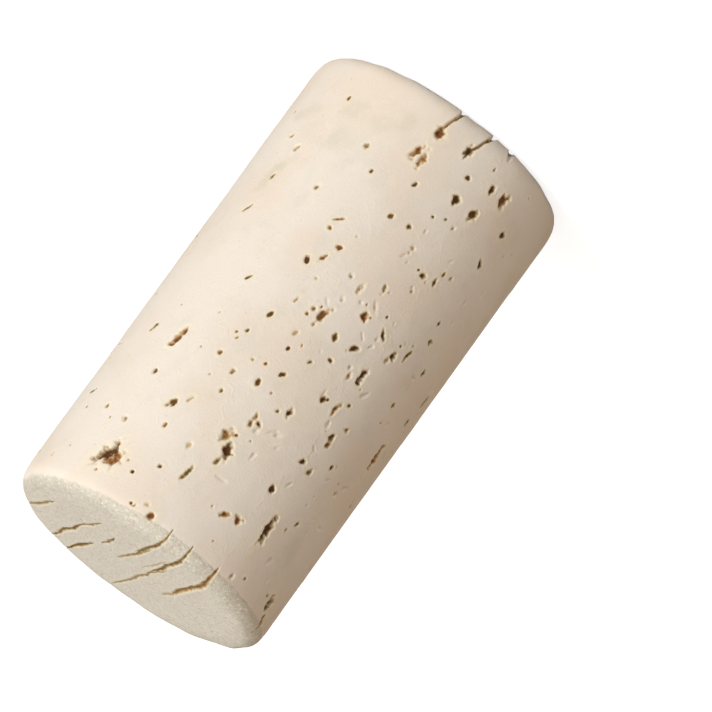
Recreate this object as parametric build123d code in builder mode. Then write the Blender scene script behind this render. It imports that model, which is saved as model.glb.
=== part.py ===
from build123d import *

import os
from collections import namedtuple
from math import atan, degrees

# A natural cork stopper, punched in one piece from cork bark: a straight plug with two
# rounded rims. The bark's breathing channels cross it from front to back. They open as
# pits on the barrel, as long cracks on the ends and as notches where they meet a rim.
# Millimetres. The plug stands on its end, with +Z along its axis and -Y at its front.

# Driving dimensions
diameter = 24.0
length = 45.0
top_rim_radius = 1.4
bottom_rim_radius = 1.4

# How the marks are cut
grain_angle = -11.0  # where the channels meet the front, in degrees round from -Y
pit_depth = 0.7
pit_floor_share = 0.4  # a pit's floor is this share as wide as its mouth
crack_depth = 1.2
cutter_lift = 0.3  # how far every cutter starts outside the surface

# A pit: its height as a share of the length, its angle round the barrel from -Y towards
# +X, its own length and width, and how far its long side leans from the axis.
Pit = namedtuple("Pit", "height angle long wide lean")
pits = [
    Pit(0.07, 3, 1.1, 0.9, 20),
    Pit(0.07, -11, 1.1, 0.7, -10),
    Pit(0.09, -28, 0.9, 0.6, 10),
    Pit(0.09, -36, 1.4, 0.9, 10),
    Pit(0.12, 4, 1.5, 0.9, 3),
    Pit(0.15, -28, 1.0, 0.8, 0),
    Pit(0.15, -18, 0.8, 0.7, 0),
    Pit(0.20, -45, 1.2, 0.5, -30),
    Pit(0.39, 10, 1.1, 0.5, 17),
    Pit(0.43, -16, 0.9, 0.7, 0),
    Pit(0.45, -36, 0.8, 0.7, 0),
    Pit(0.45, -72, 1.8, 0.5, 0),
    Pit(0.48, -2, 1.3, 0.6, 17),
    Pit(0.52, -30, 1.6, 0.7, 1),
    Pit(0.59, -65, 2.8, 0.7, 0),
    Pit(0.65, 43, 2.2, 0.8, 17),
    Pit(0.66, -14, 0.9, 0.7, 0),
    Pit(0.71, -4, 1.5, 0.5, 0),
    Pit(0.76, 27, 1.4, 0.5, 24),
    Pit(0.77, -2, 2.4, 1.0, -5),
    Pit(0.85, -36, 3.1, 0.7, 2),
    Pit(0.86, 5, 1.6, 0.5, 11),
    Pit(0.87, -21, 0.9, 0.6, 20),
    Pit(0.90, 37, 2.9, 1.3, 31),
    Pit(0.93, -64, 1.5, 1.2, 0),
]

# A crack in the top face: its middle, as shares of the radius along the grain towards the
# front and across it towards +X, its length and width, and its turn from the grain.
Crack = namedtuple("Crack", "along across long wide turn")
cracks = [
    Crack(-0.23, 0.72, 6.0, 0.3, 2),
    Crack(-0.15, 0.46, 13.6, 0.5, 1),
    Crack(-0.54, 0.27, 7.1, 0.45, 3),
    Crack(0.09, 0.26, 3.9, 0.35, 2),
    Crack(0.45, 0.11, 13.5, 0.3, 0),
    Crack(0.17, -0.07, 19.5, 0.45, -1),
    Crack(0.36, -0.28, 16.0, 0.55, 3),
]

# A notch in the bottom rim: its angle, its width, and how far it runs in across the end
# and up the barrel.
Notch = namedtuple("Notch", "angle wide inward upward")
notches = [
    Notch(-1, 0.55, 4.0, 2.6),
    Notch(-17, 0.6, 3.0, 2.9),
    Notch(-25, 0.5, 0.9, 0.9),
]

radius = diameter / 2

with BuildPart() as stopper:
    # The section of half the plug, turned round the axis.
    with BuildSketch(Plane.XZ):
        with BuildLine():
            Polyline((0, 0), (radius, 0), (radius, length), (0, length), close=True)
        make_face()
    revolve(axis=Axis.Z)
    rims = stopper.edges().filter_by(GeomType.CIRCLE).sort_by(Axis.Z)
    fillet(rims[0], bottom_rim_radius)
    fillet(stopper.edges().filter_by(GeomType.CIRCLE).sort_by(Axis.Z)[-1], top_rim_radius)

    # Pits: tapered round-ended pockets, each square to the barrel where it opens.
    for pit in pits:
        outward = Vector(0, -1, 0).rotate(Axis.Z, pit.angle)
        along_axis = Vector(0, 0, 1).rotate(Axis((0, 0, 0), outward), -pit.lean)
        mouth = Plane(
            origin=outward * (radius + cutter_lift) + Vector(0, 0, pit.height * length),
            x_dir=along_axis,
            z_dir=outward,
        )
        sunk = pit_depth + cutter_lift
        wall_lean = degrees(atan(pit.wide * (1 - pit_floor_share) / 2 / sunk))
        with BuildSketch(mouth):
            SlotOverall(pit.long, pit.wide)
        extrude(amount=-sunk, taper=wall_lean, mode=Mode.SUBTRACT)

    # Cracks: long slots, sunk straight down into the top face.
    face_plane = Plane.XY.offset(length + cutter_lift)
    for crack in cracks:
        with BuildSketch(face_plane.rotated((0, 0, grain_angle - 90))):
            with Locations((crack.along * radius, crack.across * radius)):
                with Locations(Rotation(0, 0, crack.turn)):
                    SlotOverall(crack.long, crack.wide)
        extrude(amount=-(crack_depth + cutter_lift), mode=Mode.SUBTRACT)

    # Notches: three-cornered slits that run over the bottom rim.
    for notch in notches:
        outward = Vector(0, -1, 0).rotate(Axis.Z, notch.angle)
        with BuildSketch(Plane(origin=(0, 0, 0), x_dir=outward, z_dir=outward.cross(Vector(0, 0, 1)))):
            with BuildLine():
                Polyline(
                    (radius - notch.inward, -cutter_lift),
                    (radius + cutter_lift, -cutter_lift),
                    (radius + cutter_lift, notch.upward),
                    close=True,
                )
            make_face()
        extrude(amount=notch.wide / 2, both=True, mode=Mode.SUBTRACT)

stopper.part.label = "stopper"

os.makedirs("parts", exist_ok=True)
export_step(stopper.part, "parts/stopper.step")

print(f"stopper: {stopper.part.volume / 1000:.2f} cm3, {len(stopper.solids())} solid")
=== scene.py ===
"""Looks of a natural cork stopper: its pitted barrel, cracked ends, notched rim and bark finish.

The stopper is one piece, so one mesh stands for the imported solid. It starts as a cube cut into a
grid, is cut finer where marks lie, and is then wrapped onto the stopper's section and marked.
"""

import logging
import math
import random
from dataclasses import dataclass, field
from enum import Enum

import bmesh
import bpy
import numpy as np
from mathutils import Matrix, Vector, noise


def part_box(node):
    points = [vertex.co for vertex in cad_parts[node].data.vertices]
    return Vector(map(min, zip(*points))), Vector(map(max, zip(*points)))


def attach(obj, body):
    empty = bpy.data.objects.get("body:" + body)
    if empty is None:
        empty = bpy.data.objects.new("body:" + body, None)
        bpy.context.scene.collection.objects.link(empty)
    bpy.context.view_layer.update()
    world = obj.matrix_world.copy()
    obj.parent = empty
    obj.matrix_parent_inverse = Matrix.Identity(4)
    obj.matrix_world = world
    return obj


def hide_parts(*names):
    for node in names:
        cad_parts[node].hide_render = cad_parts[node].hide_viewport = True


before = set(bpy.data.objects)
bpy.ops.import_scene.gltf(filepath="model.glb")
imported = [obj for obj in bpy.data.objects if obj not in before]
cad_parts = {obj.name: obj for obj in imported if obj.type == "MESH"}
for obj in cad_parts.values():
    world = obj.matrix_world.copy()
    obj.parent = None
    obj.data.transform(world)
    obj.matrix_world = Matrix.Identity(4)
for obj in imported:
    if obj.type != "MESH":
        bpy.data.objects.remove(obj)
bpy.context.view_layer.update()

MM = 0.001

log = logging.getLogger("cork_stopper")


class Tone(Enum):
    """What a pit's floor looks like; the value is its place along the pit colours."""

    DARK = 0.0
    OLIVE = 0.4
    TAN = 0.7
    RUST = 1.0


@dataclass(frozen=True)
class Pit:
    """An open pore on the barrel, where one of the bark's channels comes out.

    Attributes:
        height: Its middle, as a share of the stopper's length above the bottom end.
        angle: Its middle, in degrees round the barrel from -Y towards +X.
        long: Length of its mouth, in millimetres.
        wide: Width of its mouth, in millimetres.
        lean: Degrees by which the mouth's long side leans from the axis towards +X.
        deep: Depth, in millimetres.
        tone: Look of its floor.
        shade: How strongly the floor's colour shows, from 0 to 1.
    """

    height: float
    angle: float
    long: float
    wide: float
    lean: float = 10.0
    deep: float = 0.6
    tone: Tone = Tone.DARK
    shade: float = 1.0


@dataclass(frozen=True)
class Slit:
    """A crack that runs with the bark's grain, cut into an end face and open at a rim it meets.

    Attributes:
        across: Its middle, as a share of the radius across the grain towards +X.
        start: Where it begins, as a share of the radius along the grain; -1 is the back rim.
        end: Where it ends; 1 is the front rim.
        wide: Width of its mouth, in millimetres.
        turn: Degrees by which it turns from the grain.
        deep: Depth below the face, in millimetres.
        tone: Look of its floor.
        bottom: True on the bottom end, false on the top end.
        down: How far it can reach along the barrel from the face, in millimetres.
        shade: How strongly its floor's colour shows, from 0 to 1.
        slant: How far it moves across, towards +X, for each unit that it goes along the barrel.
    """

    across: float
    start: float
    end: float
    wide: float
    turn: float = 0.0
    deep: float = 0.8
    tone: Tone = Tone.OLIVE
    bottom: bool = False
    down: float = 1.0
    shade: float = 1.0
    slant: float = 0.0


@dataclass(frozen=True)
class Stain:
    """A soft discoloured patch on the barrel.

    Attributes:
        height: Its middle, as a share of the stopper's length above the bottom end.
        angle: Its middle, in degrees round the barrel from -Y towards +X.
        long: Its length, in millimetres.
        wide: Its width, in millimetres.
        lean: Degrees by which its long side leans from the axis towards +X.
        strength: How strongly it shows, from 0 to 1.
    """

    height: float
    angle: float
    long: float
    wide: float
    lean: float
    strength: float


STAINS = (
    Stain(0.22, 49, 3.4, 2.6, 20, 0.9),
    Stain(0.31, 55, 5.5, 1.8, 15, 0.9),
    Stain(0.15, 62, 3.0, 1.6, 60, 0.5),
    Stain(0.10, 26, 7.0, 2.4, 75, 0.45),
    Stain(0.17, 34, 3.2, 2.6, 0, 0.4),
    Stain(0.72, 20, 7.0, 3.0, 15, 0.25),
    Stain(0.55, -8, 6.0, 2.4, 10, 0.3),
    Stain(0.86, -50, 5.0, 3.0, 0, 0.4),
    Stain(0.40, 150, 8.0, 4.0, 10, 0.6),
    Stain(0.75, -140, 6.0, 3.0, -20, 0.5),
)

PITS = (
    Pit(0.070, 3, 1.3, 1.0, 20, 0.8, Tone.RUST),
    Pit(0.065, -11, 1.2, 0.8, -15, 0.7),
    Pit(0.105, -17, 0.7, 0.5, 10, 0.4),
    Pit(0.090, -28, 0.9, 0.7, 10, 0.6),
    Pit(0.090, -36, 1.5, 1.0, 10, 0.7, Tone.RUST),
    Pit(0.121, 5.6, 1.9, 0.7, 12, 0.4, Tone.RUST, 0.9),
    Pit(0.129, 2.2, 1.9, 0.7, 4, 0.5, Tone.RUST),
    Pit(0.150, -28, 1.1, 0.8, 0, 0.6, Tone.OLIVE),
    Pit(0.150, -18, 0.9, 0.8, 0, 0.6),
    Pit(0.135, -46, 0.9, 0.6, 0, 0.5),
    Pit(0.205, -45, 1.2, 0.5, -30, 0.4),
    Pit(0.095, 44, 0.5, 0.4, 0, 0.25, Tone.RUST),
    Pit(0.165, 24, 0.7, 0.6, 0, 0.5, Tone.OLIVE),
    Pit(0.200, 16, 0.5, 0.4, 10, 0.3, Tone.OLIVE),
    Pit(0.200, 60, 0.9, 0.5, 60, 0.3, Tone.RUST),
    Pit(0.220, 52, 0.9, 0.7, 10, 0.3, Tone.OLIVE, 0.7),
    Pit(0.290, 54, 0.8, 0.4, 20, 0.25, Tone.OLIVE, 0.7),
    Pit(0.365, 55, 1.6, 0.35, 35, 0.3, Tone.OLIVE),
    Pit(0.310, 15, 1.1, 0.4, 55, 0.3, Tone.RUST),
    Pit(0.250, -1, 0.8, 0.4, 40, 0.3, Tone.RUST),
    Pit(0.245, -9, 0.6, 0.5, 10, 0.4),
    Pit(0.355, 8, 0.7, 0.5, 60, 0.3, Tone.RUST),
    Pit(0.385, 11, 1.2, 0.45, 25, 0.4, Tone.TAN),
    Pit(0.405, 16, 1.2, 0.5, -20, 0.5),
    Pit(0.480, 10, 0.7, 0.35, 15, 0.25, Tone.OLIVE, 0.9),
    Pit(0.370, -16, 1.1, 0.4, -10, 0.25, Tone.OLIVE, 0.7),
    Pit(0.375, -48, 0.7, 0.6, 0, 0.4, Tone.OLIVE),
    Pit(0.425, -42, 1.5, 0.35, 10, 0.25, Tone.OLIVE, 0.9),
    Pit(0.425, -56, 0.8, 0.5, 0, 0.4),
    Pit(0.490, 32, 0.9, 0.25, 35, 0.3, Tone.OLIVE),
    Pit(0.300, -26, 0.8, 0.6, 30, 0.5),
    Pit(0.295, -32, 0.9, 0.6, -20, 0.5, Tone.RUST),
    Pit(0.395, -8, 1.1, 0.6, 20, 0.4, Tone.OLIVE, 0.6),
    Pit(0.430, -16, 1.0, 0.8, 0, 0.6, Tone.RUST),
    Pit(0.450, -36, 0.9, 0.8, 20, 0.6),
    Pit(0.445, -73, 1.8, 0.6, 0, 0.4, Tone.RUST),
    Pit(0.480, -2, 2.0, 0.6, 14, 0.4, Tone.RUST),
    Pit(0.495, -11, 0.7, 0.6, 0, 0.5, Tone.OLIVE),
    Pit(0.490, -20, 1.3, 0.6, 35, 0.5),
    Pit(0.535, -15, 0.6, 0.5, 0, 0.3, Tone.OLIVE, 0.9),
    Pit(0.435, -27, 1.4, 0.4, -40, 0.3),
    Pit(0.520, -30, 1.7, 0.8, 1, 0.7),
    Pit(0.500, -70, 0.9, 0.5, 0, 0.4),
    Pit(0.595, -65, 2.9, 0.8, 0, 0.5, Tone.RUST),
    Pit(0.530, 15, 1.0, 0.35, 19, 0.3, Tone.OLIVE),
    Pit(0.580, 19, 0.6, 0.45, 0, 0.3, Tone.OLIVE),
    Pit(0.650, 3, 0.8, 0.5, 0, 0.4, Tone.OLIVE),
    Pit(0.660, 14, 0.8, 0.5, 20, 0.3, Tone.OLIVE, 0.9),
    Pit(0.620, 10, 0.45, 0.4, 0, 0.3),
    Pit(0.700, 13, 0.6, 0.5, 0, 0.4, Tone.OLIVE),
    Pit(0.595, -29, 1.3, 0.5, 10, 0.4, Tone.TAN),
    Pit(0.610, -39, 0.7, 0.5, 0, 0.4, Tone.OLIVE),
    Pit(0.650, 43, 2.3, 0.8, 17, 0.7, Tone.RUST),
    Pit(0.645, 59, 0.9, 0.5, 25, 0.3),
    Pit(0.600, -22, 0.7, 0.6, 10, 0.5),
    Pit(0.575, -33, 0.6, 0.5, 0, 0.4),
    Pit(0.610, -3, 0.8, 0.4, 35, 0.4),
    Pit(0.660, -14, 1.0, 0.8, 0, 0.7),
    Pit(0.640, -35, 0.9, 0.6, 10, 0.5, Tone.OLIVE),
    Pit(0.710, -31, 0.8, 0.6, 20, 0.5),
    Pit(0.680, -44, 0.8, 0.4, 0, 0.5),
    Pit(0.715, -4, 1.6, 0.5, 0, 0.5, Tone.TAN),
    Pit(0.765, 27, 1.5, 0.5, 24, 0.5, Tone.OLIVE),
    Pit(0.742, 21, 1.3, 0.4, 20, 0.2, Tone.OLIVE, 0.6),
    Pit(0.800, 70, 1.2, 0.3, 60, 0.3),
    Pit(0.785, -3, 1.8, 1.1, -5, 0.8),
    Pit(0.762, 1, 1.5, 1.0, 0, 0.3, Tone.TAN, 0.9),
    Pit(0.812, -2, 0.9, 0.5, 5, 0.4, Tone.OLIVE, 0.8),
    Pit(0.790, -27, 0.8, 0.7, 10, 0.5),
    Pit(0.800, -47, 0.8, 0.5, 20, 0.5),
    Pit(0.855, -36, 3.2, 0.8, 2, 0.8),
    Pit(0.860, 5, 1.8, 0.5, 11, 0.6, Tone.OLIVE),
    Pit(0.882, -17, 1.0, 0.7, 60, 0.5, Tone.TAN),
    Pit(0.872, -23, 0.9, 0.8, 0, 0.5, Tone.RUST),
    Pit(0.880, 15, 0.6, 0.5, 0, 0.4),
    Pit(0.905, 38, 3.2, 1.2, 31, 0.7),
    Pit(0.910, 33, 2.0, 1.5, 31, 0.3, Tone.RUST, 0.95),
    Pit(0.915, 23, 0.5, 0.4, 0, 0.3),
    Pit(0.935, -64, 1.6, 1.3, 0, 0.7),
    Pit(0.968, -69, 1.0, 0.8, 0, 0.3, Tone.RUST, 0.9),
    Pit(0.945, -41, 0.5, 0.5, 0, 0.4),
    Pit(0.965, 6, 1.0, 0.9, 20, 0.6, Tone.RUST),
    Pit(0.965, 16, 0.4, 0.4, 0, 0.3),
)

SLITS = (
    Slit(0.73, -0.56, 0.02, 0.46, -2, 0.08, Tone.OLIVE, shade=0.65),
    Slit(0.47, -0.76, 0.00, 0.52, 1, 0.12, Tone.OLIVE, shade=0.80),
    Slit(0.46, -0.12, 0.38, 0.40, -4, 0.08, Tone.OLIVE, shade=0.66),
    Slit(0.29, -0.92, -0.18, 0.48, -1, 0.10, Tone.OLIVE, shade=0.80),
    Slit(0.28, -0.06, 0.28, 0.42, -2, 0.08, Tone.DARK, shade=0.66),
    Slit(0.11, -0.10, 0.66, 0.46, -1, 0.06, Tone.OLIVE, shade=0.60),
    Slit(0.10, 0.30, 1.08, 0.60, 2, 0.10, Tone.OLIVE, shade=0.74),
    Slit(-0.03, 0.10, 0.72, 0.34, 0, 0.04, Tone.TAN, shade=0.45),
    Slit(-0.10, -0.80, 0.50, 0.46, 0, 0.06, Tone.OLIVE, shade=0.60),
    Slit(-0.09, 0.20, 1.10, 0.60, 2, 0.11, Tone.OLIVE, shade=0.76),
    Slit(-0.30, -0.16, 0.36, 0.50, -1, 0.06, Tone.TAN, shade=0.52),
    Slit(-0.30, 0.04, 1.12, 0.74, 0, 0.14, Tone.TAN, shade=0.84),
    Slit(0.17, 0.70, 1.10, 0.52, 0, 0.5, Tone.TAN, True, 2.6, 0.7, 0.27),
    Slit(-0.11, 0.74, 1.10, 0.58, 0, 0.5, Tone.TAN, True, 3.0, 0.7, 0.43),
    Slit(-0.27, 0.80, 1.12, 0.70, 0, 0.4, Tone.TAN, True, 0.6, 0.3),
    Slit(-0.30, -0.50, 0.40, 0.40, 3, 0.3, Tone.OLIVE, True, 0.5, 0.7),
    Slit(0.42, -0.70, 0.10, 0.45, -2, 0.3, Tone.OLIVE, True, 0.5, 0.7),
)


def smooth_step(low: float, high: float, value: np.ndarray) -> np.ndarray:
    """Rises smoothly from 0 to 1 as the value goes from low to high.

    Args:
        low: Where the rise begins; it may be above high, and the step then falls.
        high: Where the rise ends.
        value: The values to shape.

    Returns:
        The shaped values, between 0 and 1.
    """
    share = np.clip((value - low) / (high - low), 0.0, 1.0)
    return share * share * (3.0 - 2.0 * share)


class Ripple(Enum):
    """Smooth noise over the surface: the distance between its bumps, in millimetres, and its seed."""

    PIT_EDGES = (0.55, 3.0)
    PIT_CRUMBS = (0.28, 7.0)
    SLIT_BENDS = (3.0, 11.0)
    SLIT_WAVES = (0.9, 13.0)
    SLIT_EDGES = (0.5, 17.0)
    SWELL = (6.0, 21.0)
    DIMPLES = (1.6, 23.0)
    FINE_DIMPLES = (0.8, 41.0)
    TOOL_LINES = (1.1, 29.0)
    RIM_WEAR = (2.2, 31.0)
    STAIN_CLOUDS = (1.8, 37.0)

    def at(self, points: np.ndarray) -> np.ndarray:
        """Reads the noise at each point.

        Args:
            points: Rows of x, y and z, in metres.

        Returns:
            One value for each row, roughly between -1 and 1.
        """
        size, seed = self.value
        return np.array([noise.noise(row) for row in (points / (size * MM) + seed).tolist()])


def angles_of(points: np.ndarray) -> np.ndarray:
    """Returns how far round from -Y towards +X each point lies, in degrees."""
    return np.degrees(np.arctan2(points[:, 0], -points[:, 1]))


def measured_along(lean: float, along: np.ndarray, aside: np.ndarray) -> tuple[np.ndarray, np.ndarray]:
    """Measures places on the barrel along and across a mark that leans from the axis.

    Args:
        lean: Degrees by which the mark leans towards +X.
        along: Distances up the barrel from the mark's middle.
        aside: Distances round the barrel from it, towards +X.

    Returns:
        The distances along the mark's length, and those across it.
    """
    turn = math.radians(lean)
    lengthwise = along * math.cos(turn) + aside * math.sin(turn)
    widthwise = aside * math.cos(turn) - along * math.sin(turn)
    return lengthwise, widthwise


@dataclass
class MarkSheet:
    """What the marks do to each point of the surface.

    Attributes:
        sunk: How far the point is pushed in, in metres.
        floor: How much of a mark's floor colour it takes, from 0 to 1.
        lip: How much of the pale lip round a mark it takes, from 0 to 1.
        tone: Place of the floor's colour along the pit colours.
        near: True where a mark is near enough to call for a finer grid.
    """

    sunk: np.ndarray
    floor: np.ndarray
    lip: np.ndarray
    tone: np.ndarray
    near: np.ndarray

    @classmethod
    def blank(cls, count: int) -> "MarkSheet":
        """Returns a sheet with no marks for that many points."""
        return cls(*(np.zeros(count) for _ in range(4)), np.zeros(count, bool))

    def add(self, rows: np.ndarray, reach: np.ndarray, deep: float, tone: Tone, shade: float) -> None:
        """Sinks one mark into some of the points.

        Args:
            rows: Which points the mark may touch.
            reach: Distance from the mark's middle for each row, where 1 is its edge.
            deep: The mark's depth, in metres.
            tone: Look of its floor.
            shade: How strongly the floor's colour shows.
        """
        self.sunk[rows] = np.maximum(self.sunk[rows], deep * smooth_step(1.10, 0.30, reach))
        floor = shade * np.clip((1.15 - reach) / 0.95, 0.0, 1.0)
        stronger = floor > self.floor[rows]
        self.tone[rows] = np.where(stronger, tone.value, self.tone[rows])
        self.floor[rows] = np.maximum(self.floor[rows], floor)
        lip = shade * smooth_step(0.75, 1.05, reach) * smooth_step(1.9, 1.15, reach)
        self.lip[rows] = np.maximum(self.lip[rows], lip)


@dataclass
class Stopper:
    """The cork stopper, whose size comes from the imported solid's box.

    Attributes:
        rim: Radius of the rounded rims, in metres.
        grain: Where the bark's channels meet the front, in degrees round from -Y.
        pores: How many small pores are scattered over the barrel.
        streaks: How many channels show lengthwise on its two flanks.
        dents: How many faint dents lie between the pores on the front's darker side.
        back_pits: How many larger pits lie on the back.
        lip_rise: How far the lips round the marks stand above the worn surface, in metres.
        across_cells: Grid cells across each side of the cube that the stopper starts as.
        margins: How far past a mark's edge each finer cut reaches, in cells.
        seed: Where the random draws start.
        radius: Radius of the barrel, in metres, from the solid.
        length: Length from end to end, in metres, from the solid.
    """

    rim: float = 1.4 * MM
    grain: float = -11.0
    pores: int = 300
    streaks: int = 54
    dents: int = 55
    back_pits: int = 16
    lip_rise: float = 0.020 * MM
    across_cells: int = 48
    margins: tuple[float, float] = (0.45, 0.10)
    seed: int = 24
    radius: float = field(init=False)
    length: float = field(init=False)

    def __post_init__(self) -> None:
        """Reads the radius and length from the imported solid."""
        low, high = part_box("stopper")
        self.radius = (high[0] - low[0]) / 2
        self.length = high[2] - low[2]

    # The section: flat ends, rounded rims and a straight barrel.

    @property
    def side_length(self) -> float:
        """The section's length along the bottom rim, the barrel and the top rim, in metres."""
        return self.length - 2 * self.rim + math.pi * self.rim

    def wrap(self, cube: np.ndarray) -> tuple[np.ndarray, np.ndarray]:
        """Wraps points of the cube from -1 to 1 onto the stopper.

        Args:
            cube: Rows of x, y and z on the cube's surface.

        Returns:
            The points on the plain stopper, and the outward normals there.
        """
        x, y, z = cube.T
        share = np.maximum(np.abs(x), np.abs(y))
        safe = np.where(share > 0, share, 1.0)
        wide = np.abs(x) >= np.abs(y)
        quarter = math.pi / 4
        turn = np.where(
            wide,
            quarter * y / safe * np.sign(x) + np.where(x < 0, math.pi, 0.0),
            math.pi / 2 * np.sign(y) - quarter * x / safe * np.sign(y),
        )
        on_end = np.abs(z) > 1 - 1e-6
        run = (z + 1) / 2 * self.side_length
        rim_run = math.pi / 2 * self.rim
        low_bend = np.clip(run / self.rim, 0, math.pi / 2)
        high_bend = np.clip((run - self.side_length + rim_run) / self.rim, 0, math.pi / 2)
        flat = self.radius - self.rim
        out = flat + self.rim * np.minimum(np.sin(low_bend), np.cos(high_bend))
        up = self.rim * (1 - np.cos(low_bend)) + np.clip(run - rim_run, 0, self.length - 2 * self.rim)
        up = up + self.rim * np.sin(high_bend)
        out = np.where(on_end, share * flat, out)
        up = np.where(on_end, (z > 0) * self.length, up)
        tilt = np.where(on_end, np.sign(z) * math.pi / 2, high_bend - (math.pi / 2 - low_bend))
        points = np.stack([out * np.cos(turn), out * np.sin(turn), up], 1)
        lean = np.cos(tilt)
        normals = np.stack([lean * np.cos(turn), lean * np.sin(turn), np.sin(tilt)], 1)
        return points, normals

    # Marks.

    def small_pores(self, draw: random.Random) -> list[Pit]:
        """Draws the small pores, which crowd where the bark's channels meet the barrel.

        Args:
            draw: Where the random numbers come from.

        Returns:
            The pores.
        """
        pores: list[Pit] = []
        while len(pores) < self.pores:
            height, angle = draw.uniform(0.03, 0.97), draw.uniform(-180, 180)
            facing = abs(math.cos(math.radians(angle - self.grain)))
            crowd = 1.0
            if abs(angle) < 90:  # the front already has the marks that are listed
                crowd = 0.70 if -65 < angle < 5 and 0.25 < height < 0.85 else 0.30
            if draw.random() > crowd * (0.15 + 0.85 * facing**1.5):
                continue
            long = 0.36 + 0.45 * draw.random() ** 2.0
            tone = draw.choice((Tone.DARK, Tone.DARK, Tone.OLIVE, Tone.TAN, Tone.RUST))
            shade = draw.uniform(0.45, 1.0)
            wide = long * draw.uniform(0.5, 0.9)
            lean = draw.gauss(14, 18)
            pores.append(Pit(height, angle, long, wide, lean, 0.5 * long, tone, shade))
        return pores

    def flank_streaks(self, draw: random.Random) -> list[Pit]:
        """Draws the channels that show lengthwise where they graze the flanks.

        Args:
            draw: Where the random numbers come from.

        Returns:
            The streaks, as long level pits.
        """
        streaks: list[Pit] = []
        for _ in range(self.streaks):
            height = draw.uniform(0.03, 0.97)
            side = draw.choice((-96, 104))
            angle = self.grain + side + draw.gauss(0, 9)
            long = draw.uniform(0.8, 3.4)
            wide = draw.uniform(0.18, 0.34)
            lean = 90 + draw.gauss(0, 7)
            tone = draw.choice((Tone.DARK, Tone.OLIVE, Tone.TAN, Tone.RUST))
            shade = draw.uniform(0.35, 0.9)
            streaks.append(Pit(height, angle, long, wide, lean, 0.3, tone, shade))
        return streaks

    def faint_dents(self, draw: random.Random) -> list[Pit]:
        """Draws the faint dents between the pores.

        Args:
            draw: Where the random numbers come from.

        Returns:
            The dents, as shallow pits with hardly any colour.
        """
        dents: list[Pit] = []
        for _ in range(self.dents):
            height, angle = draw.uniform(0.22, 0.92), draw.uniform(-82, 0)
            long = draw.uniform(0.35, 1.1)
            wide = draw.uniform(0.2, 0.4)
            lean = draw.gauss(10, 30)
            dents.append(Pit(height, angle, long, wide, lean, 0.2, Tone.TAN, draw.uniform(0.1, 0.3)))
        return dents

    def larger_back_pits(self, draw: random.Random) -> list[Pit]:
        """Draws larger pits on the back, like those listed for the front.

        Args:
            draw: Where the random numbers come from.

        Returns:
            The pits.
        """
        pits: list[Pit] = []
        for _ in range(self.back_pits):
            height, angle = draw.uniform(0.05, 0.95), 180 + self.grain + draw.gauss(0, 38)
            long = draw.uniform(0.9, 2.4)
            wide = long * draw.uniform(0.35, 0.75)
            tone = draw.choice((Tone.DARK, Tone.OLIVE, Tone.RUST))
            pits.append(Pit(height, angle, long, wide, draw.gauss(-10, 15), 0.6, tone))
        return pits

    def scattered_pits(self) -> list[Pit]:
        """Draws every mark that isn't listed, kind by kind."""
        draw = random.Random(self.seed)
        kinds = (self.small_pores, self.flank_streaks, self.faint_dents, self.larger_back_pits)
        return [pit for kind in kinds for pit in kind(draw)]

    def aside_of(self, angles: np.ndarray, middle: float) -> np.ndarray:
        """Returns how far round the barrel those angles lie from a mark's middle, in metres."""
        return np.radians((angles - middle + 180) % 360 - 180) * self.radius

    def mark_pits(self, points: np.ndarray, sheet: MarkSheet, margin: float) -> None:
        """Sinks every pit and pore into the barrel.

        Args:
            points: The points on the plain stopper.
            sheet: Where the marks are written.
            margin: How far outside a mark's edge still counts as near, in metres.
        """
        angles = angles_of(points)
        ragged = Ripple.PIT_EDGES.at(points)
        crumbs = Ripple.PIT_CRUMBS.at(points)
        on_barrel = np.hypot(points[:, 0], points[:, 1]) > self.radius - 0.8 * self.rim
        for pit in (*PITS, *self.scattered_pits()):
            aside = self.aside_of(angles, pit.angle)
            along = points[:, 2] - pit.height * self.length
            size = pit.long * MM
            span = 1.2 * size + margin
            rows = np.nonzero(on_barrel & (np.abs(along) < span) & (np.abs(aside) < span))[0]
            if not len(rows):
                continue
            lengthwise, widthwise = measured_along(pit.lean, along[rows], aside[rows])
            half_wide = pit.wide * MM / 2
            edge = np.hypot(lengthwise / (size * 0.6 + margin), widthwise / (half_wide * 1.1 + margin))
            sheet.near[rows[edge < 1]] = True
            reach = np.hypot(lengthwise / (size / 2), widthwise / half_wide)
            reach = reach + 0.60 * ragged[rows] + 0.42 * crumbs[rows]
            deep = min(pit.deep, 0.36 * pit.wide) * MM * (1 + 0.35 * crumbs[rows])
            sheet.add(rows, reach, deep, pit.tone, pit.shade)

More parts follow.
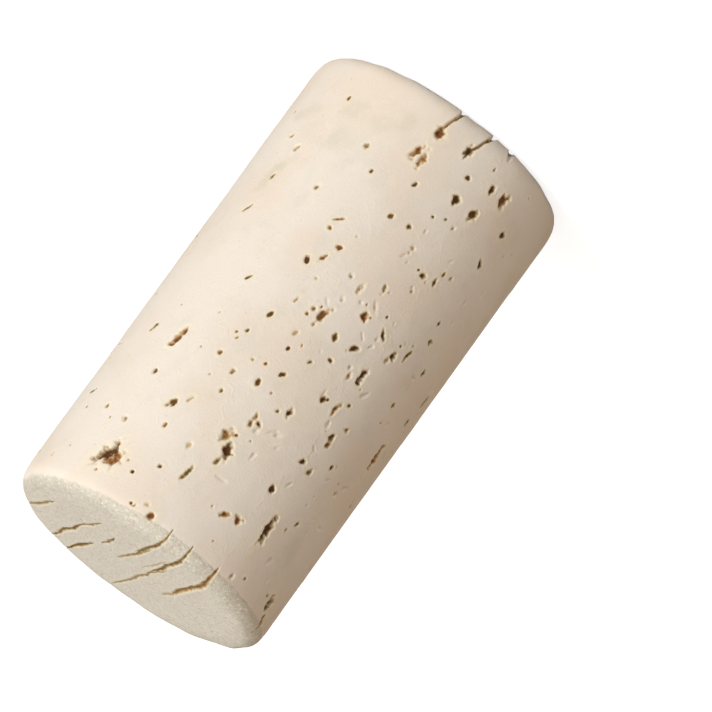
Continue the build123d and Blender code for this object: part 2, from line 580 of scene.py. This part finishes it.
    def mark_slits(self, points: np.ndarray, sheet: MarkSheet, margin: float) -> None:
        """Cuts every crack into the ends, over the rims that they meet.

        Args:
            points: The points on the plain stopper.
            sheet: Where the marks are written.
            margin: How far outside a mark's edge still counts as near, in metres.
        """
        wander = Ripple.SLIT_BENDS.at(points) * 0.30 * MM + Ripple.SLIT_WAVES.at(points) * 0.10 * MM
        ragged = Ripple.SLIT_EDGES.at(points)
        for slit in SLITS:
            turn = math.radians(self.grain + slit.turn)
            forward = np.array([math.sin(turn), -math.cos(turn)])
            aside = np.array([math.cos(turn), math.sin(turn)])
            along = points[:, :2] @ forward
            middle = (slit.start + slit.end) / 2 * self.radius
            half = (slit.end - slit.start) / 2 * self.radius
            below = points[:, 2] if slit.bottom else self.length - points[:, 2]
            across = points[:, :2] @ aside - slit.across * self.radius - slit.slant * below + wander
            taper = np.clip(1 - ((along - middle) / half) ** 2, 0.0, 1.0) ** 0.5
            over_rim = np.clip(1 - below / (slit.down * MM + 0.5 * self.rim), 0.0, 1.0) ** 0.5
            wide = np.maximum(slit.wide * MM / 2 * taper * over_rim, 1e-9)
            rows = np.nonzero((taper > 0) & (over_rim > 0) & (np.abs(across) < slit.wide * 2 * MM))[0]
            if not len(rows):
                continue
            sheet.near[rows[np.abs(across[rows]) < wide[rows] * 1.3 + margin]] = True
            reach = np.abs(across[rows]) / wide[rows] + 0.35 * ragged[rows]
            sheet.add(rows, reach, slit.deep * MM * np.sqrt(taper[rows]), slit.tone, slit.shade)

    def stain_at(self, points: np.ndarray) -> np.ndarray:
        """Works out how much each point is stained.

        Args:
            points: The points on the plain stopper.

        Returns:
            One value for each point, from 0 to 1.
        """
        angles = angles_of(points)
        cloudy = Ripple.STAIN_CLOUDS.at(points)
        stained = np.zeros(len(points))
        for stain in STAINS:
            aside = self.aside_of(angles, stain.angle)
            along = points[:, 2] - stain.height * self.length
            lengthwise, widthwise = measured_along(stain.lean, along, aside)
            reach = np.hypot(lengthwise / (stain.long * MM / 2), widthwise / (stain.wide * MM / 2))
            patch = stain.strength * smooth_step(1.3, 0.5, reach + 0.8 * cloudy)
            stained = np.maximum(stained, patch)
        return stained

    def marks_at(self, points: np.ndarray, margin: float) -> MarkSheet:
        """Works out what all the marks do to those points.

        Args:
            points: The points on the plain stopper.
            margin: How far outside a mark's edge still counts as near, in metres.

        Returns:
            The filled sheet.
        """
        sheet = MarkSheet.blank(len(points))
        self.mark_pits(points, sheet, margin)
        self.mark_slits(points, sheet, margin)
        return sheet

    # The mesh.

    def cut_cube(self) -> bmesh.types.BMesh:
        """Cuts a cube into a grid whose cells come out nearly square on the stopper.

        Returns:
            The cube, from -1 to 1, with finer cells where the marks will lie.
        """
        grid = bmesh.new()
        bmesh.ops.create_cube(grid, size=2.0)
        cell = 2 * math.pi * self.radius / (4 * self.across_cells)
        upright = [edge for edge in grid.edges if abs(edge.verts[0].co.z - edge.verts[1].co.z) > 1]
        cuts = round(self.side_length / cell) - 1
        bmesh.ops.subdivide_edges(grid, edges=upright, cuts=cuts, use_grid_fill=True)
        flat = cell / self.length
        level = [edge for edge in grid.edges if abs(edge.verts[0].co.z - edge.verts[1].co.z) < flat]
        bmesh.ops.subdivide_edges(grid, edges=level, cuts=self.across_cells - 1, use_grid_fill=True)
        for margin in self.margins:
            cube = np.array([vert.co for vert in grid.verts])
            near = self.marks_at(self.wrap(cube)[0], margin * cell).near
            marked = {vert for vert, flag in zip(grid.verts, near) if flag}
            faces = [face for face in grid.faces if any(vert in marked for vert in face.verts)]
            edges = list({edge for face in faces for edge in face.edges})
            bmesh.ops.subdivide_edges(grid, edges=edges, cuts=1, use_grid_fill=True)
        bmesh.ops.recalc_face_normals(grid, faces=grid.faces)
        return grid

    def unevenness(self, points: np.ndarray) -> np.ndarray:
        """Works out how the surface is sanded and worn.

        Args:
            points: The points on the plain stopper.

        Returns:
            How far each point lies below the true form, in metres.
        """
        swell = 0.030 * MM * (1 + Ripple.SWELL.at(points))
        dimples = 0.014 * MM * (1 + Ripple.DIMPLES.at(points))
        dimples = dimples + 0.010 * MM * (1 + Ripple.FINE_DIMPLES.at(points))
        drawn_out = points * np.array([1, 1, 0.08])
        tool_lines = 0.008 * MM * (1 + Ripple.TOOL_LINES.at(drawn_out))
        below = np.minimum(points[:, 2], self.length - points[:, 2])
        out = np.hypot(points[:, 0], points[:, 1])
        rim_wear = 0.10 * MM * (1 + Ripple.RIM_WEAR.at(points))
        rim_wear = rim_wear * smooth_step(1.6 * self.rim, 0.3 * self.rim, below)
        rim_wear = rim_wear * smooth_step(self.radius - 2.0 * self.rim, self.radius - 0.8 * self.rim, out)
        return swell + dimples + tool_lines + rim_wear

    def build(self) -> bpy.types.Object:
        """Makes the stopper's mesh, marked and ready for its finish.

        Returns:
            The stopper. Its attribute "marks" holds the floors, lips and tones as red, green and
            blue, and its attribute "stain" holds the stains.
        """
        grid = self.cut_cube()
        mesh = bpy.data.meshes.new("cork_stopper")
        grid.to_mesh(mesh)
        grid.free()
        cube = np.empty(len(mesh.vertices) * 3)
        mesh.vertices.foreach_get("co", cube)
        points, normals = self.wrap(cube.reshape(-1, 3))
        sheet = self.marks_at(points, 0.0)
        sunk = sheet.sunk + np.maximum(self.unevenness(points) - self.lip_rise * sheet.lip, 0.0)
        mesh.vertices.foreach_set("co", (points - normals * sunk[:, None]).ravel())
        marks = np.stack([sheet.floor, sheet.lip, sheet.tone, np.ones(len(points))], 1)
        mesh.attributes.new("marks", "FLOAT_COLOR", "POINT").data.foreach_set("color", marks.ravel())
        mesh.attributes.new("stain", "FLOAT", "POINT").data.foreach_set("value", self.stain_at(points))
        mesh.polygons.foreach_set("use_smooth", [True] * len(mesh.polygons))
        mesh.update()
        stopper = bpy.data.objects.new("cork_stopper", mesh)
        bpy.context.scene.collection.objects.link(stopper)
        return stopper


def display(red: int, green: int, blue: int) -> tuple[float, float, float, float]:
    """Turns a colour as a screen shows it into the linear one that shaders use.

    Args:
        red: Its red, from 0 to 255.
        green: Its green.
        blue: Its blue.

    Returns:
        The linear red, green and blue, from 0 to 1, and an alpha of 1.
    """
    shares = (red / 255, green / 255, blue / 255)
    linear = [share / 12.92 if share <= 0.04045 else ((share + 0.055) / 1.055) ** 2.4 for share in shares]
    return (*linear, 1.0)


class Wire:
    """One output of a shader node, which Python's operators can do maths on."""

    def __init__(self, bench: "Bench", socket: bpy.types.NodeSocket) -> None:
        """Keeps the socket and the node tree that it belongs to."""
        self.bench = bench
        self.socket = socket

    def _maths(self, operation: str, *values: "Wire | float") -> "Wire":
        """Returns the result of a Math node with that operation."""
        return self.bench.node("ShaderNodeMath", {"operation": operation}, dict(enumerate(values)))

    def __add__(self, other: "Wire | float") -> "Wire":
        """Returns self + other."""
        return self._maths("ADD", self, other)

    __radd__ = __add__

    def __sub__(self, other: "Wire | float") -> "Wire":
        """Returns self - other."""
        return self._maths("SUBTRACT", self, other)

    def __rsub__(self, other: "Wire | float") -> "Wire":
        """Returns other - self."""
        return self._maths("SUBTRACT", other, self)

    def __mul__(self, other: "Wire | float") -> "Wire":
        """Returns self * other."""
        return self._maths("MULTIPLY", self, other)

    __rmul__ = __mul__

    def __truediv__(self, other: "Wire | float") -> "Wire":
        """Returns self / other."""
        return self._maths("DIVIDE", self, other)

    def __rtruediv__(self, other: "Wire | float") -> "Wire":
        """Returns other / self."""
        return self._maths("DIVIDE", other, self)

    def at_most(self, other: "Wire | float") -> "Wire":
        """Returns the smaller of self and other."""
        return self._maths("MINIMUM", self, other)

    def at_least(self, other: "Wire | float") -> "Wire":
        """Returns the larger of self and other."""
        return self._maths("MAXIMUM", self, other)

    def rise(self, low: float, high: float) -> "Wire":
        """Steps smoothly from 0 to 1.

        Args:
            low: Where the result is 0; it may be above high, and the step then falls.
            high: Where the result is 1.

        Returns:
            The step.
        """
        settings = {"interpolation_type": "SMOOTHSTEP"}
        values = {"Value": self, "From Min": low, "From Max": high}
        if low > high:
            values = {"Value": self, "From Min": high, "From Max": low, "To Min": 1.0, "To Max": 0.0}
        return self.bench.node("ShaderNodeMapRange", settings, values)


class Bench:
    """The node tree of a material or of the world, with one method that makes any node."""

    def __init__(self, owner: "bpy.types.Material | bpy.types.World") -> None:
        """Empties the owner's node tree."""
        owner.use_nodes = True
        self.owner = owner
        self.tree = owner.node_tree
        self.tree.nodes.clear()

    def node(self, kind: str, settings: dict | None = None, values: dict | None = None,
             output: str | int = 0) -> Wire:
        """Makes one node.

        Args:
            kind: The node's type.
            settings: Its settings, such as an operation; "stops" holds a ramp's places and colours.
            values: What goes into its sockets, by name or number: wires, or plain values.
            output: Which output to return.

        Returns:
            The wanted output.
        """
        made = self.tree.nodes.new(kind)
        for key, value in (settings or {}).items():
            if key == "stops":
                self._fill_ramp(made.color_ramp, value)
            else:
                setattr(made, key, value)
        for key, value in (values or {}).items():
            if isinstance(value, Wire):
                self.tree.links.new(value.socket, made.inputs[key])
            else:
                made.inputs[key].default_value = value
        return Wire(self, made.outputs[output])

    @staticmethod
    def _fill_ramp(ramp: bpy.types.ColorRamp, stops: list[tuple[float, tuple]]) -> None:
        """Gives a ramp its stops, from first to last."""
        while len(ramp.elements) < len(stops):
            ramp.elements.new(1.0)
        for element, (place, colour) in zip(ramp.elements, stops):
            element.position = place
            element.color = colour

    def blend(self, factor: Wire | float, first: "Wire | tuple", second: "Wire | tuple",
              mode: str = "MIX") -> Wire:
        """Mixes two colours.

        Args:
            factor: How much of the second colour shows.
            first: The colour underneath.
            second: The colour on top.
            mode: The Mix node's blend type.

        Returns:
            The mixed colour.
        """
        settings = {"data_type": "RGBA", "blend_type": mode}
        return self.node("ShaderNodeMix", settings, {0: factor, 6: first, 7: second}, output=2)

    def noise(self, place: Wire, scale: float, detail: float = 2.0, rough: float = 0.5) -> Wire:
        """Returns plain noise between 0 and 1 at a place, with that many bumps a unit."""
        values = {"Vector": place, "Scale": scale, "Detail": detail, "Roughness": rough}
        return self.node("ShaderNodeTexNoise", {}, values)

    def scaled(self, place: Wire, factors: tuple[float, float, float]) -> Wire:
        """Returns a place multiplied by a factor on each axis."""
        return self.node("ShaderNodeVectorMath", {"operation": "MULTIPLY"}, {0: place, 1: factors})

    def axis(self, place: Wire, number: int) -> Wire:
        """Returns a place's x, y or z, whose numbers are 0, 1 and 2."""
        return self.node("ShaderNodeSeparateXYZ", {}, {0: place}, output=number)

    def seen(self) -> Wire:
        """Returns 1 where the camera looks, straight or by way of metal or glass, and 0 elsewhere."""
        seen = self.node("ShaderNodeLightPath", output="Is Camera Ray")
        for name in ("Is Glossy Ray", "Is Transmission Ray"):
            seen = seen.at_least(self.node("ShaderNodeLightPath", output=name))
        return seen

    def finish(self, shader: Wire) -> None:
        """Joins the shader to the tree's output."""
        in_world = isinstance(self.owner, bpy.types.World)
        kind = "ShaderNodeOutputWorld" if in_world else "ShaderNodeOutputMaterial"
        self.tree.links.new(shader.socket, self.tree.nodes.new(kind).inputs["Surface"])


@dataclass(frozen=True)
class Bark:
    """The pattern that the cork's colour and its fine relief share.

    Attributes:
        spot: Place on the stopper, in millimetres.
        turned: The same place, turned so that its y runs along the bark's channels.
        cut_end: How much of an end's raw cut shows, from 0 to 1.
        painted_rim_shade: Painted shade on the top's raw cut where it rounds over the rim, from 0 to 1; it
            darkens the band that the lamps light there.
        line: Growth lines, which are thin wavy sheets across the channels.
        threads: Noise drawn out along the channels.
        speckle: Fine noise.
        sparkle: Finer noise.
        grains: Sharp noise for the crumbly cut ends.
    """

    spot: Wire
    turned: Wire
    cut_end: Wire
    painted_rim_shade: Wire
    line: Wire
    threads: Wire
    speckle: Wire
    sparkle: Wire
    grains: Wire

    @staticmethod
    def cuts(bench: Bench, spot: Wire, stopper: Stopper) -> tuple[Wire, Wire]:
        """Finds where the raw cut shows: the top's wraps over its rim, and the bottom's ends inside it.

        Args:
            bench: Where the nodes are made.
            spot: Place on the stopper, in millimetres.
            stopper: The stopper, for its sizes.

        Returns:
            The raw cut of both ends, and the part of the top's cut on its rounded rim that takes painted
            shade.
        """
        length, rim, radius = stopper.length / MM, stopper.rim / MM, stopper.radius / MM
        height = bench.axis(spot, 2)
        to_right = bench.axis(spot, 0).at_least(0.0) / radius
        uneven = (bench.noise(spot, 1.6, 2.0) - 0.5) * 0.4
        from_top = length - height
        cut_top = (from_top + uneven + to_right * 0.5 * rim).rise(1.0 * rim, 0.78 * rim)
        cut_bottom = (height + uneven).rise(0.42 * rim, 0.18 * rim)
        # The second mask is painted shade: it covers the top's rounded rim, which the lamps light more
        # brightly than the face.
        return cut_top.at_least(cut_bottom), cut_top * from_top.rise(0.03 * rim, 0.22 * rim)

    @classmethod
    def lay_out(cls, bench: Bench, stopper: Stopper) -> "Bark":
        """Makes the pattern's nodes.

        Args:
            bench: Where the nodes are made.
            stopper: The stopper, whose size and grain place the pattern.

        Returns:
            The pattern.
        """
        metres = bench.node("ShaderNodeTexCoord", output="Object")
        spot = bench.scaled(metres, (1 / MM, 1 / MM, 1 / MM))
        rotation = (0.0, 0.0, -math.radians(stopper.grain))
        turned = bench.node("ShaderNodeMapping", {}, {"Vector": spot, "Rotation": rotation})
        cut_end, painted_rim_shade = cls.cuts(bench, spot, stopper)
        beat = bench.axis(turned, 1) * 0.42 + bench.noise(turned, 0.35, 3.0, 0.6) * 1.5
        sheets = bench.node("ShaderNodeMath", {"operation": "PINGPONG"}, {0: beat, 1: 0.5})
        line = sheets.rise(0.09, 0.0) * bench.noise(spot, 0.9, 2.0).rise(0.35, 0.65)
        threads = bench.noise(bench.scaled(turned, (3.2, 0.40, 2.4)), 1.0, 2.0, 0.55)
        speckle = bench.noise(spot, 5.5, 2.0, 0.6)
        sparkle = bench.noise(spot, 11.0, 1.0)
        grains = bench.noise(spot, 3.6, 3.0, 0.75)
        return cls(spot, turned, cut_end, painted_rim_shade, line, threads, speckle, sparkle, grains)


@dataclass(frozen=True)
class CorkFinish:
    """Bare sanded cork: pale, matt and finely grained, with brown pores.

    Attributes:
        cream: The barrel's main colour.
        rosy: A pinker cream in soft patches.
        ashy: A greyer cream in soft patches.
        bruise: Greenish grey of the stains.
        straw: Pale yellow round the pits and along the growth lines.
        cut_face: Colour of the cut ends.
        rim_shade_colour: Painted shade for the top rim's rounding: a greyer colour that darkens the band
            which the lamps light there.
        pale_grain_and_glint: Colour of the brightest grains of the cut ends: partly their own pale colour
            and partly painted glints, standing in for light caught by the crumbly cut.
        pore: Colour of the finest pores.
        wall: Colour of a mark's sloping wall.
        dark: Colour of the darkest floors.
        olive: Colour of greenish floors.
        tan: Colour of pale brown floors.
        rust: Colour of reddish floors.
        roughness: The least roughness.
        rougher: How much the speckle adds to it.
        gloss: Strength of the plain reflection.
        bump: Strength of the fine relief.
        bump_height: Height of the fine relief, in metres.
    """

    cream: tuple = display(232, 221, 209)
    rosy: tuple = display(230, 215, 199)
    ashy: tuple = display(222, 213, 200)
    bruise: tuple = display(208, 201, 178)
    straw: tuple = display(240, 228, 190)
    cut_face: tuple = display(223, 214, 200)
    rim_shade_colour: tuple = display(203, 195, 180)
    pale_grain_and_glint: tuple = display(246, 240, 228)
    pore: tuple = display(150, 118, 78)
    wall: tuple = display(208, 178, 118)
    dark: tuple = display(86, 54, 24)
    olive: tuple = display(130, 108, 56)
    tan: tuple = display(172, 130, 76)
    rust: tuple = display(154, 104, 58)
    roughness: float = 0.80
    rougher: float = 0.12
    gloss: float = 0.25
    bump: float = 0.55
    bump_height: float = 0.05 * MM

    def clean_colour(self, bench: Bench, bark: Bark) -> Wire:
        """Colours the barrel and the cut ends, without the marks.

        Args:
            bench: Where the nodes are made.
            bark: The pattern that the colours follow.

        Returns:
            The colour.
        """
        patches = bench.noise(bench.scaled(bark.turned, (1.0, 0.7, 0.8)), 0.16, 3.0)
        clouds = bench.noise(bench.scaled(bark.turned, (1.0, 0.6, 0.7)), 0.42, 4.0, 0.6)
        colour = bench.blend(patches.rise(0.42, 0.66), self.cream, self.rosy)
        colour = bench.blend(clouds.rise(0.52, 0.74) * 0.7, colour, self.ashy)
        colour = bench.blend(bark.cut_end * 0.85, colour, self.cut_face)
        # Painted shade: the top rim's rounding is greyed to damp the bright band that the lamps put there.
        colour = bench.blend(bark.painted_rim_shade * 0.8, colour, self.rim_shade_colour)
        stain = bench.node("ShaderNodeAttribute", {"attribute_name": "stain"}, {}, output="Fac")
        colour = bench.blend(stain * clouds.rise(0.36, 0.60) * 0.9, colour, self.bruise)
        colour = bench.blend(bark.line * (0.12 + 0.30 * bark.cut_end), colour, self.straw)

        # The finest channels are dots where they meet the surface, and dashes along it.
        thread = bark.threads.rise(0.68, 0.80)
        colour = bench.blend(thread * (0.12 + 0.25 * bark.cut_end), colour, self.pore)

        grit = (bark.speckle - 0.5) * (0.20 + 0.30 * bark.cut_end)
        grit = grit + (bark.sparkle - 0.5) * (0.10 + 0.60 * bark.cut_end)
        channels = {0: 0.5 + grit, 1: 0.5 + grit, 2: 0.5 + grit * 1.15}
        grey = bench.node("ShaderNodeCombineColor", {}, channels)
        colour = bench.blend(0.55, colour, grey, "SOFT_LIGHT")
        # The brightest grains of the cut ends are paled: partly their own colour, partly painted glints of
        # light on the crumbly cut.
        colour = bench.blend(bark.cut_end * bark.grains.rise(0.54, 0.68) * 0.75, colour, self.pale_grain_and_glint)
        return bench.blend(bark.cut_end * bark.grains.rise(0.46, 0.32) * 0.36, colour, self.pore)

    def marked_colour(self, bench: Bench, spot: Wire, colour: Wire) -> Wire:
        """Colours the marks, whose places come from the mesh.

        Args:
            bench: Where the nodes are made.
            spot: Place on the stopper, in millimetres.
            colour: The colour of the clean cork.

        Returns:
            The colour with the marks' lips, walls and floors.
        """
        marks = bench.node("ShaderNodeAttribute", {"attribute_name": "marks"}, {}, output=0)
        floor, lip, tone = (
            bench.node("ShaderNodeSeparateColor", {}, {0: marks}, output=part) for part in range(3)
        )
        crumbs = bench.noise(spot, 3.4, 3.0, 0.65)
        lumps = bench.noise(spot, 1.3, 2.0)
        fine = bench.noise(spot, 6.0, 2.0)
        tones = zip(Tone, (self.dark, self.olive, self.tan, self.rust))
        stops = [(place.value, shade) for place, shade in tones]
        shifted = tone + (lumps - 0.5) * 0.9 + (crumbs - 0.5) * 0.4
        bottom = bench.node("ShaderNodeValToRGB", {"stops": stops}, {0: shifted})
        mottled = floor + (crumbs - 0.5) * 0.55 + (fine - 0.5) * 0.30 + (lumps - 0.5) * 0.5 * floor
        bottom = bench.blend(mottled.rise(0.60, 1.0) * (1.0 - tone * 0.35), bottom, self.dark)
        bottom = bench.blend(crumbs.rise(0.50, 0.66) * 0.45, bottom, self.dark)
        colour = bench.blend(lip * crumbs.rise(0.30, 0.65) * 0.45, colour, self.straw)
        colour = bench.blend(mottled.rise(0.14, 0.48) * 0.60, colour, self.wall)
        return bench.blend(mottled.rise(0.22, 0.78), colour, bottom)

    def relief(self, bench: Bench, bark: Bark) -> Wire:
        """Raises the roughness that is too fine for the mesh.

        Args:
            bench: Where the nodes are made.
            bark: The pattern that the roughness follows.

        Returns:
            The surface's direction.
        """
        height = bark.speckle * 0.6 + bark.sparkle * (0.35 + bark.cut_end)
        height = height + bark.grains * bark.cut_end * 3.0
        height = height + bark.threads.rise(0.64, 0.78) * -0.5 + bark.line * 0.5
        values = {"Strength": self.bump, "Distance": self.bump_height, "Height": height}
        return bench.node("ShaderNodeBump", {}, values)

    def material(self, stopper: Stopper) -> bpy.types.Material:
        """Makes the cork's material.

        Args:
            stopper: The stopper, whose size and grain place the pattern.

        Returns:
            The finished material.
        """
        material = bpy.data.materials.new("cork")
        bench = Bench(material)
        bark = Bark.lay_out(bench, stopper)
        values = {
            "Base Color": self.marked_colour(bench, bark.spot, self.clean_colour(bench, bark)),
            "Roughness": self.roughness + self.rougher * bark.speckle,
            "Normal": self.relief(bench, bark),
            "Specular IOR Level": self.gloss,
        }
        bench.finish(bench.node("ShaderNodeBsdfPrincipled", {}, values))
        return material

    def dress(self, piece: bpy.types.Object, stopper: Stopper) -> None:
        """Gives the piece this finish."""
        piece.data.materials.append(self.material(stopper))


@dataclass(frozen=True)
class Lamp:
    """A square lamp that faces the stopper.

    Attributes:
        name: Its name.
        azimuth: Its place round the stopper, in degrees from -Y towards +X.
        elevation: Its height above the level, in degrees.
        far: Its distance from the stopper, in metres.
        size: Its side, in metres.
        watts: Its power.
        colour: Its colour.
    """

    name: str
    azimuth: float
    elevation: float
    far: float
    size: float
    watts: float
    colour: tuple[float, float, float] = (1.0, 1.0, 1.0)


LAMPS = (
    Lamp("key", azimuth=44, elevation=26, far=0.80, size=0.20, watts=4.0),
    Lamp("side", azimuth=110, elevation=10, far=0.70, size=0.30, watts=0.4),
    Lamp("front", azimuth=8, elevation=5, far=0.80, size=0.30, watts=1.4, colour=(1.0, 0.98, 0.93)),
    Lamp("overhead", azimuth=70, elevation=78, far=0.60, size=0.30, watts=1.45),
    Lamp("bounce", azimuth=-88, elevation=5, far=0.50, size=0.25, watts=0.4, colour=(1.0, 0.50, 0.12)),
)


@dataclass
class Studio:
    """A plain white floor, soft lamps and the camera.

    Attributes:
        target: Where the camera looks, in metres.
        distance: From the camera to its target, in metres.
        elevation: Height of the view above the level, in degrees.
        azimuth: Turn of the view round the stopper, in degrees.
        roll: Turn of the camera about its own line of sight, in degrees.
        lens: Focal length, in millimetres.
        sensor: Width of the camera's sensor, in millimetres.
        lamp_aim: The point that the lamps face, in metres.
        glow: Colour of the light from all round.
        glow_strength: Strength of that light.
        paper: The floor's colour where it is lit.
        white: What the camera sees far from the stopper.
        near_white: What the lit floor near the stopper needs to come out white.
        near: How far from the stopper the floor starts to turn from near_white to white, in metres.
        away: How far from the stopper it is white, in metres.
        floor_half: From the floor's middle to its edges, in metres.
    """

    target: Vector = field(default_factory=lambda: Vector((-4.61 * MM, -0.80 * MM, 19.62 * MM)))
    distance: float = 0.827
    elevation: float = 15.0
    azimuth: float = 0.33
    roll: float = 144.2
    lens: float = 506.5
    sensor: float = 36.0
    lamp_aim: Vector = field(default_factory=lambda: Vector((0.0, 0.0, 20 * MM)))
    glow: tuple = (1.0, 0.94, 0.74, 1.0)
    glow_strength: float = 0.16
    paper: tuple = (0.55, 0.55, 0.55, 1.0)
    white: tuple = (1.0, 1.0, 1.0, 1.0)
    near_white: tuple = (0.84, 0.84, 0.84, 1.0)
    near: float = 0.08
    away: float = 0.45
    floor_half: float = 3.0

    @staticmethod
    def backward(azimuth: float, elevation: float) -> Vector:
        """Returns the direction from the stopper towards a lamp or camera at those degrees."""
        turn, rise = math.radians(azimuth), math.radians(elevation)
        return Vector((math.sin(turn) * math.cos(rise), -math.cos(turn) * math.cos(rise), math.sin(rise)))

    def place_camera(self) -> None:
        """Makes the scene's camera and turns it to the wanted slant."""
        data = bpy.data.cameras.new("camera")
        data.lens = self.lens
        data.sensor_width = self.sensor
        camera = bpy.data.objects.new("camera", data)
        back = self.backward(self.azimuth, self.elevation)
        upright = (-back).to_track_quat("-Z", "Y").to_matrix().to_4x4()
        rolled = upright @ Matrix.Rotation(math.radians(-self.roll), 4, "Z")
        camera.matrix_world = Matrix.Translation(self.target + back * self.distance) @ rolled
        bpy.context.scene.collection.objects.link(camera)
        bpy.context.scene.camera = camera

    def hang_lamps(self) -> None:
        """Hangs every lamp, turned to face the stopper."""
        for lamp in LAMPS:
            data = bpy.data.lights.new(lamp.name, "AREA")
            data.size = lamp.size
            data.energy = lamp.watts
            data.color = lamp.colour
            hung = bpy.data.objects.new(lamp.name, data)
            towards = self.backward(lamp.azimuth, lamp.elevation)
            hung.location = towards * lamp.far + self.lamp_aim
            hung.rotation_euler = towards.to_track_quat("Z", "Y").to_euler()
            bpy.context.scene.collection.objects.link(hung)

    def surround(self) -> None:
        """Surrounds the stopper with a warm glow, which the camera sees as white."""
        world = bpy.data.worlds.new("studio")
        bench = Bench(world)
        glow = bench.node("ShaderNodeBackground", {}, {"Color": self.glow, "Strength": self.glow_strength})
        white = bench.node("ShaderNodeBackground", {}, {"Color": self.white, "Strength": 1.0})
        bench.finish(bench.node("ShaderNodeMixShader", {}, {0: bench.seen(), 1: glow, 2: white}))
        bpy.context.scene.world = world

    def lay_floor(self) -> None:
        """Lays the floor, white to the camera apart from the stopper's shadow."""
        material = bpy.data.materials.new("floor")
        bench = Bench(material)
        paper = bench.node("ShaderNodeBsdfDiffuse", {}, {"Color": self.paper})
        place = bench.node("ShaderNodeTexCoord", output="Object")
        far = bench.node("ShaderNodeVectorMath", {"operation": "LENGTH"}, {0: place}, output="Value")
        pale = bench.blend(far.rise(self.near, self.away), self.near_white, self.white)
        lift = bench.node("ShaderNodeEmission", {}, {"Color": pale, "Strength": 1.0})
        both = bench.node("ShaderNodeAddShader", {}, {0: paper, 1: lift})
        bench.finish(bench.node("ShaderNodeMixShader", {}, {0: bench.seen(), 1: paper, 2: both}))
        sheet = bmesh.new()
        bmesh.ops.create_grid(sheet, x_segments=1, y_segments=1, size=self.floor_half)
        mesh = bpy.data.meshes.new("floor")
        sheet.to_mesh(mesh)
        sheet.free()
        mesh.materials.append(material)
        floor = bpy.data.objects.new("floor", mesh)
        bpy.context.scene.collection.objects.link(floor)

    def set_up(self) -> None:
        """Puts up the whole studio."""
        bpy.context.scene.view_settings.view_transform = "Standard"
        self.place_camera()
        self.hang_lamps()
        self.surround()
        self.lay_floor()


def main() -> None:
    """Builds the studio and the stopper, and reports the piece."""
    logging.basicConfig(level=logging.INFO, format="%(name)s: %(message)s")
    Studio().set_up()
    stopper = Stopper()
    piece = stopper.build()
    CorkFinish().dress(piece, stopper)
    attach(piece, "root")
    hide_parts("stopper")
    log.info("%s: %d triangles", piece.name, sum(len(face.vertices) - 2 for face in piece.data.polygons))


if __name__ == "__main__":
    main()
